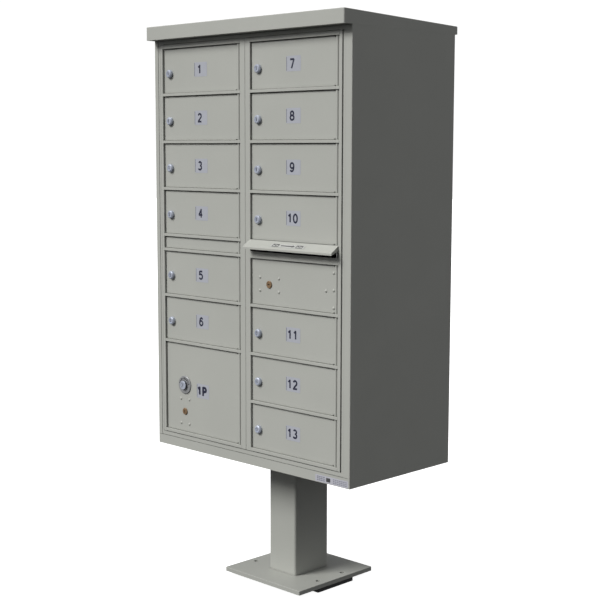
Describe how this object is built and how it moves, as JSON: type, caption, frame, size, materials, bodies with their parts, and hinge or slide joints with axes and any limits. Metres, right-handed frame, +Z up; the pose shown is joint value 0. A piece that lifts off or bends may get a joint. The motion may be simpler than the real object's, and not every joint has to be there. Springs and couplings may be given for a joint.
{
  "type": "cluster mailbox unit",
  "caption": "Pedestal-mounted cluster mailbox cabinet whose hinged master doors carry lockable tenant doors, a parcel locker door and an outgoing mail slot, under a sloping rain hood.",
  "frame": {"origin": "centre of the four anchor bolt holes, on the underside of the mounting pad", "axes": "+Z up along the pedestal, +X to the right seen from the front, +Y to the back; the doors face -Y"},
  "size_m": [0.775, 0.455, 1.596],
  "materials": {
    "grey_paint": "light warm grey powder coat, fine orange peel, satin",
    "black_pad": "matt black",
    "bare_sheet": "mill finish sheet",
    "zinc_steel": "zinc plated",
    "lock_metal": "satin chrome over die casting",
    "carrier_brass": "satin brass, slightly dulled"
  },
  "bodies": {
    "root": {"mounting_pad": "black_pad", "base_plate": "grey_paint", "pedestal_tube": "grey_paint", "pedestal_bolts": "zinc_steel", "floor_pan": "grey_paint", "side_panel_left": "grey_paint", "side_panel_right": "grey_paint", "back_panel": "grey_paint", "top_panel": "grey_paint", "rain_hood": "grey_paint", "front_frame": "grey_paint", "master_pivot_pins": "zinc_steel", "partitions": "bare_sheet", "shelves_left": "bare_sheet", "shelves_right": "bare_sheet"},
    "left_master_door": {"left_master_frame": "grey_paint", "filler_panel": "grey_paint", "left_hinge_rod": "zinc_steel"},
    "right_master_door": {"right_master_frame": "grey_paint", "outgoing_hood": "grey_paint", "outgoing_baffle": "grey_paint", "right_hinge_rod": "zinc_steel"},
    "left_master_bolt": {"left_master_bolt": "zinc_steel"},
    "right_master_bolt": {"right_master_bolt": "zinc_steel"},
    "tenant_door_01": {"tenant_door_01": "grey_paint"},
    "tenant_lock_01": {"tenant_lock_01": "lock_metal"},
    "tenant_door_02": {"tenant_door_02": "grey_paint"},
    "tenant_lock_02": {"tenant_lock_02": "lock_metal"},
    "tenant_door_03": {"tenant_door_03": "grey_paint"},
    "tenant_lock_03": {"tenant_lock_03": "lock_metal"},
    "tenant_door_04": {"tenant_door_04": "grey_paint"},
    "tenant_lock_04": {"tenant_lock_04": "lock_metal"},
    "tenant_door_05": {"tenant_door_05": "grey_paint"},
    "tenant_lock_05": {"tenant_lock_05": "lock_metal"},
    "tenant_door_06": {"tenant_door_06": "grey_paint"},
    "tenant_lock_06": {"tenant_lock_06": "lock_metal"},
    "tenant_door_07": {"tenant_door_07": "grey_paint"},
    "tenant_lock_07": {"tenant_lock_07": "lock_metal"},
    "tenant_door_08": {"tenant_door_08": "grey_paint"},
    "tenant_lock_08": {"tenant_lock_08": "lock_metal"},
    "tenant_door_09": {"tenant_door_09": "grey_paint"},
    "tenant_lock_09": {"tenant_lock_09": "lock_metal"},
    "tenant_door_10": {"tenant_door_10": "grey_paint"},
    "tenant_lock_10": {"tenant_lock_10": "lock_metal"},
    "tenant_door_11": {"tenant_door_11": "grey_paint"},
    "tenant_lock_11": {"tenant_lock_11": "lock_metal"},
    "tenant_door_12": {"tenant_door_12": "grey_paint"},
    "tenant_lock_12": {"tenant_lock_12": "lock_metal"},
    "tenant_door_13": {"tenant_door_13": "grey_paint"},
    "tenant_lock_13": {"tenant_lock_13": "lock_metal"},
    "parcel_door": {"parcel_door": "grey_paint", "parcel_escutcheon": "lock_metal", "parcel_lock_case": "zinc_steel"},
    "parcel_lock": {"parcel_lock": "lock_metal"},
    "parcel_bolt": {"parcel_bolt": "zinc_steel"},
    "parcel_carrier_lock": {"parcel_carrier_lock": "carrier_brass"},
    "outgoing_door": {"outgoing_door": "grey_paint", "outgoing_lock_case": "zinc_steel"},
    "outgoing_lock": {"outgoing_lock": "carrier_brass"},
    "outgoing_bolt": {"outgoing_bolt": "zinc_steel"}
  },
  "joints": [
    {"name": "left_master_swing", "type": "hinge", "parent": "root", "child": "left_master_door", "pos_m": [-0.355, -0.204, 0.95], "axis": [0, 0, -1], "range_deg": [0, 100]},
    {"name": "right_master_swing", "type": "hinge", "parent": "root", "child": "right_master_door", "pos_m": [0.3498, -0.204, 0.95], "axis": [0, 0, 1], "range_deg": [0, 90]},
    {"name": "left_master_bolt_slide", "type": "slide", "parent": "left_master_door", "child": "left_master_bolt", "axis": [0, 0, 1], "range_m": [0, 0.0095]},
    {"name": "right_master_bolt_slide", "type": "slide", "parent": "right_master_door", "child": "right_master_bolt", "axis": [0, 0, 1], "range_m": [0, 0.0095]},
    {"name": "parcel_door_swing", "type": "hinge", "parent": "left_master_door", "child": "parcel_door", "pos_m": [-0.0335, -0.2019, 0.5516], "axis": [0, 0, 1], "range_deg": [0, 90]},
    {"name": "parcel_bolt_slide", "type": "slide", "parent": "parcel_door", "child": "parcel_bolt", "axis": [-1, 0, 0], "range_m": [0, 0.012]},
    {"name": "parcel_lock_turn", "type": "hinge", "parent": "parcel_door", "child": "parcel_lock", "pos_m": [-0.2693, -0.2032, 0.5606], "axis": [0, -1, 0], "range_deg": [0, 90]},
    {"name": "parcel_carrier_lock_turn", "type": "hinge", "parent": "parcel_door", "child": "parcel_carrier_lock", "pos_m": [-0.2693, -0.2032, 0.4816], "axis": [0, -1, 0], "range_deg": [0, 90]},
    {"name": "outgoing_door_swing", "type": "hinge", "parent": "right_master_door", "child": "outgoing_door", "pos_m": [0.334, -0.2019, 0.88905], "axis": [0, 0, 1], "range_deg": [0, 90]},
    {"name": "outgoing_bolt_slide", "type": "slide", "parent": "outgoing_door", "child": "outgoing_bolt", "axis": [-1, 0, 0], "range_m": [0, 0.012]},
    {"name": "outgoing_lock_turn", "type": "hinge", "parent": "outgoing_door", "child": "outgoing_lock", "pos_m": [0.086, -0.2032, 0.8832], "axis": [0, -1, 0], "range_deg": [0, 90]},
    {"name": "tenant_door_01_swing", "type": "hinge", "parent": "left_master_door", "child": "tenant_door_01", "pos_m": [-0.0335, -0.2019, 1.47045], "axis": [0, 0, 1], "range_deg": [0, 90]},
    {"name": "tenant_door_02_swing", "type": "hinge", "parent": "left_master_door", "child": "tenant_door_02", "pos_m": [-0.0335, -0.2019, 1.33575], "axis": [0, 0, 1], "range_deg": [0, 90]},
    {"name": "tenant_door_03_swing", "type": "hinge", "parent": "left_master_door", "child": "tenant_door_03", "pos_m": [-0.0335, -0.2019, 1.20105], "axis": [0, 0, 1], "range_deg": [0, 90]},
    {"name": "tenant_door_04_swing", "type": "hinge", "parent": "left_master_door", "child": "tenant_door_04", "pos_m": [-0.0335, -0.2019, 1.06635], "axis": [0, 0, 1], "range_deg": [0, 90]},
    {"name": "tenant_door_05_swing", "type": "hinge", "parent": "left_master_door", "child": "tenant_door_05", "pos_m": [-0.0335, -0.2019, 0.88905], "axis": [0, 0, 1], "range_deg": [0, 90]},
    {"name": "tenant_door_06_swing", "type": "hinge", "parent": "left_master_door", "child": "tenant_door_06", "pos_m": [-0.0335, -0.2019, 0.75435], "axis": [0, 0, 1], "range_deg": [0, 90]},
    {"name": "tenant_door_07_swing", "type": "hinge", "parent": "right_master_door", "child": "tenant_door_07", "pos_m": [0.334, -0.2019, 1.47045], "axis": [0, 0, 1], "range_deg": [0, 90]},
    {"name": "tenant_door_08_swing", "type": "hinge", "parent": "right_master_door", "child": "tenant_door_08", "pos_m": [0.334, -0.2019, 1.33575], "axis": [0, 0, 1], "range_deg": [0, 90]},
    {"name": "tenant_door_09_swing", "type": "hinge", "parent": "right_master_door", "child": "tenant_door_09", "pos_m": [0.334, -0.2019, 1.20105], "axis": [0, 0, 1], "range_deg": [0, 90]},
    {"name": "tenant_door_10_swing", "type": "hinge", "parent": "right_master_door", "child": "tenant_door_10", "pos_m": [0.334, -0.2019, 1.06635], "axis": [0, 0, 1], "range_deg": [0, 90]},
    {"name": "tenant_door_11_swing", "type": "hinge", "parent": "right_master_door", "child": "tenant_door_11", "pos_m": [0.334, -0.2019, 0.75435], "axis": [0, 0, 1], "range_deg": [0, 90]},
    {"name": "tenant_door_12_swing", "type": "hinge", "parent": "right_master_door", "child": "tenant_door_12", "pos_m": [0.334, -0.2019, 0.61965], "axis": [0, 0, 1], "range_deg": [0, 90]},
    {"name": "tenant_door_13_swing", "type": "hinge", "parent": "right_master_door", "child": "tenant_door_13", "pos_m": [0.334, -0.2019, 0.48495], "axis": [0, 0, 1], "range_deg": [0, 90]},
    {"name": "tenant_lock_01_turn", "type": "hinge", "parent": "tenant_door_01", "child": "tenant_lock_01", "pos_m": [-0.3225, -0.2032, 1.46245], "axis": [0, -1, 0], "range_deg": [0, 90]},
    {"name": "tenant_lock_02_turn", "type": "hinge", "parent": "tenant_door_02", "child": "tenant_lock_02", "pos_m": [-0.3225, -0.2032, 1.32775], "axis": [0, -1, 0], "range_deg": [0, 90]},
    {"name": "tenant_lock_03_turn", "type": "hinge", "parent": "tenant_door_03", "child": "tenant_lock_03", "pos_m": [-0.3225, -0.2032, 1.19305], "axis": [0, -1, 0], "range_deg": [0, 90]},
    {"name": "tenant_lock_04_turn", "type": "hinge", "parent": "tenant_door_04", "child": "tenant_lock_04", "pos_m": [-0.3225, -0.2032, 1.05835], "axis": [0, -1, 0], "range_deg": [0, 90]},
    {"name": "tenant_lock_05_turn", "type": "hinge", "parent": "tenant_door_05", "child": "tenant_lock_05", "pos_m": [-0.3225, -0.2032, 0.88105], "axis": [0, -1, 0], "range_deg": [0, 90]},
    {"name": "tenant_lock_06_turn", "type": "hinge", "parent": "tenant_door_06", "child": "tenant_lock_06", "pos_m": [-0.3225, -0.2032, 0.74635], "axis": [0, -1, 0], "range_deg": [0, 90]},
    {"name": "tenant_lock_07_turn", "type": "hinge", "parent": "tenant_door_07", "child": "tenant_lock_07", "pos_m": [0.045, -0.2032, 1.46245], "axis": [0, -1, 0], "range_deg": [0, 90]},
    {"name": "tenant_lock_08_turn", "type": "hinge", "parent": "tenant_door_08", "child": "tenant_lock_08", "pos_m": [0.045, -0.2032, 1.32775], "axis": [0, -1, 0], "range_deg": [0, 90]},
    {"name": "tenant_lock_09_turn", "type": "hinge", "parent": "tenant_door_09", "child": "tenant_lock_09", "pos_m": [0.045, -0.2032, 1.19305], "axis": [0, -1, 0], "range_deg": [0, 90]},
    {"name": "tenant_lock_10_turn", "type": "hinge", "parent": "tenant_door_10", "child": "tenant_lock_10", "pos_m": [0.045, -0.2032, 1.05835], "axis": [0, -1, 0], "range_deg": [0, 90]},
    {"name": "tenant_lock_11_turn", "type": "hinge", "parent": "tenant_door_11", "child": "tenant_lock_11", "pos_m": [0.045, -0.2032, 0.74635], "axis": [0, -1, 0], "range_deg": [0, 90]},
    {"name": "tenant_lock_12_turn", "type": "hinge", "parent": "tenant_door_12", "child": "tenant_lock_12", "pos_m": [0.045, -0.2032, 0.61165], "axis": [0, -1, 0], "range_deg": [0, 90]},
    {"name": "tenant_lock_13_turn", "type": "hinge", "parent": "tenant_door_13", "child": "tenant_lock_13", "pos_m": [0.045, -0.2032, 0.47695], "axis": [0, -1, 0], "range_deg": [0, 90]}
  ],
  "couplings": [
    {"joint": "parcel_lock_turn", "follows": "parcel_bolt_slide", "rad_per_m": 130.89},
    {"joint": "outgoing_lock_turn", "follows": "outgoing_bolt_slide", "rad_per_m": 130.89}
  ]
}
